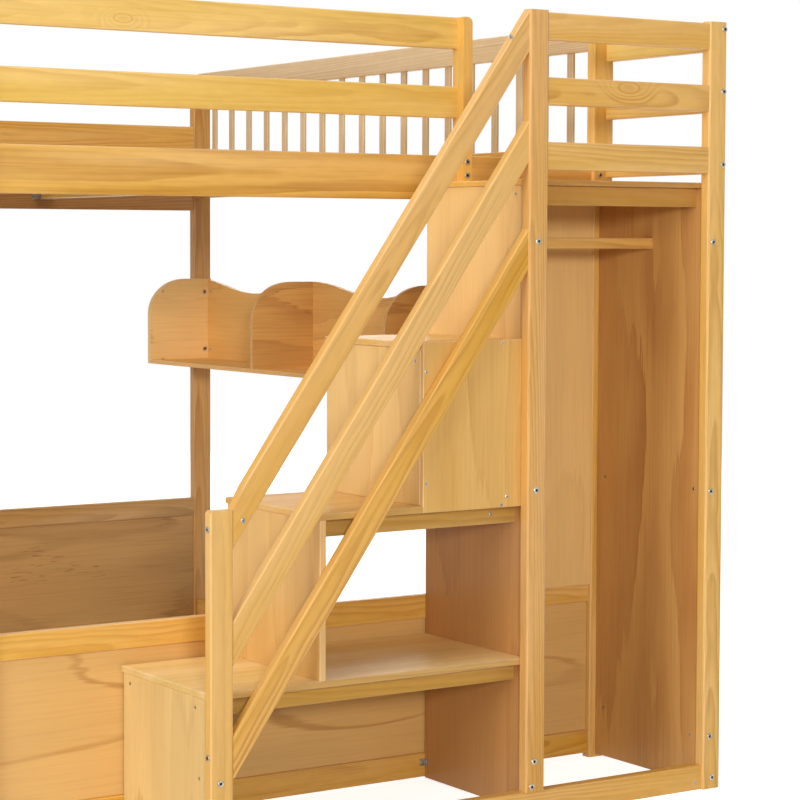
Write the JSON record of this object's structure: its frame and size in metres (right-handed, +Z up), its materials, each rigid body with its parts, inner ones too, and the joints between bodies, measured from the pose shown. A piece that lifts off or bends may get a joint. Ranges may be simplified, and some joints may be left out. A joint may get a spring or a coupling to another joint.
{
  "type": "loft bed with stairs",
  "caption": "Pine loft bed over a low bunk, with stairs of open cubbies, a wardrobe tower under the landing, sloping handrails, guard rails and a wave-backed side shelf.",
  "frame": {"origin": "on the floor, at the middle of the whole footprint of bed and stair tower", "axes": "+X along the stairs towards the wardrobe, +Y from the stair front to the head end, +Z up"},
  "size_m": [1.68, 2.413, 1.776],
  "materials": {
    "pine": "clear satin lacquer over honey pine",
    "pale_pine": "clear satin lacquer over pale pine",
    "plywood": "clear satin lacquer over pine plywood",
    "dark_plywood": "clear satin lacquer over brown plywood",
    "zinc": "zinc plated"
  },
  "bodies": {
    "root": {"foot_post_right": "pine", "foot_post_left": "pine", "head_post_right": "pine", "head_post_left": "pine", "tower_post_left": "pine", "tower_post_right": "pine", "base_rail": "pine", "tower_front_rail_low": "pine", "tower_front_rail_middle": "pine", "tower_front_rail_top": "pine", "tower_side_rail_low": "pine", "tower_side_rail_middle": "pine", "tower_side_rail_top": "pine", "foot_rail": "pine", "foot_guard_low": "pine", "foot_guard_top": "pine", "head_rail": "pine", "head_guard_low": "pine", "head_guard_top": "pine", "side_rail_right": "pine", "side_rail_left": "pine", "side_guard_right": "pine", "side_guard_left": "pine", "hanging_rod": "pine", "lower_foot_top_rail": "pine", "lower_foot_bottom_rail": "pine", "lower_head_top_rail": "pine", "lower_head_bottom_rail": "pine", "lower_side_rail_left": "pine", "lower_side_rail_right": "pine", "newel_post": "pale_pine", "entry_post": "pale_pine", "handrail_low": "pale_pine", "handrail_middle": "pale_pine", "handrail_top": "pale_pine", "tread_1": "pale_pine", "tread_2": "pale_pine", "tread_3": "pale_pine", "landing_board": "pale_pine", "bed_slats": "pale_pine", "lower_bed_slats": "pale_pine", "riser_1": "plywood", "riser_2": "plywood", "riser_3": "plywood", "stair_front_panel": "plywood", "lower_foot_panel": "plywood", "lower_head_panel": "plywood", "shelf_bottom": "plywood", "shelf_end_foot": "plywood", "shelf_end_head": "plywood", "shelf_divider_foot": "plywood", "shelf_divider_head": "plywood", "wardrobe_wall_left": "dark_plywood", "wardrobe_wall_right": "dark_plywood", "wardrobe_back": "dark_plywood", "shelf_back": "dark_plywood", "foot_hanger_left": "zinc", "foot_hanger_right": "zinc", "head_hanger_left": "zinc", "head_hanger_right": "zinc"}
  },
  "joints": []
}
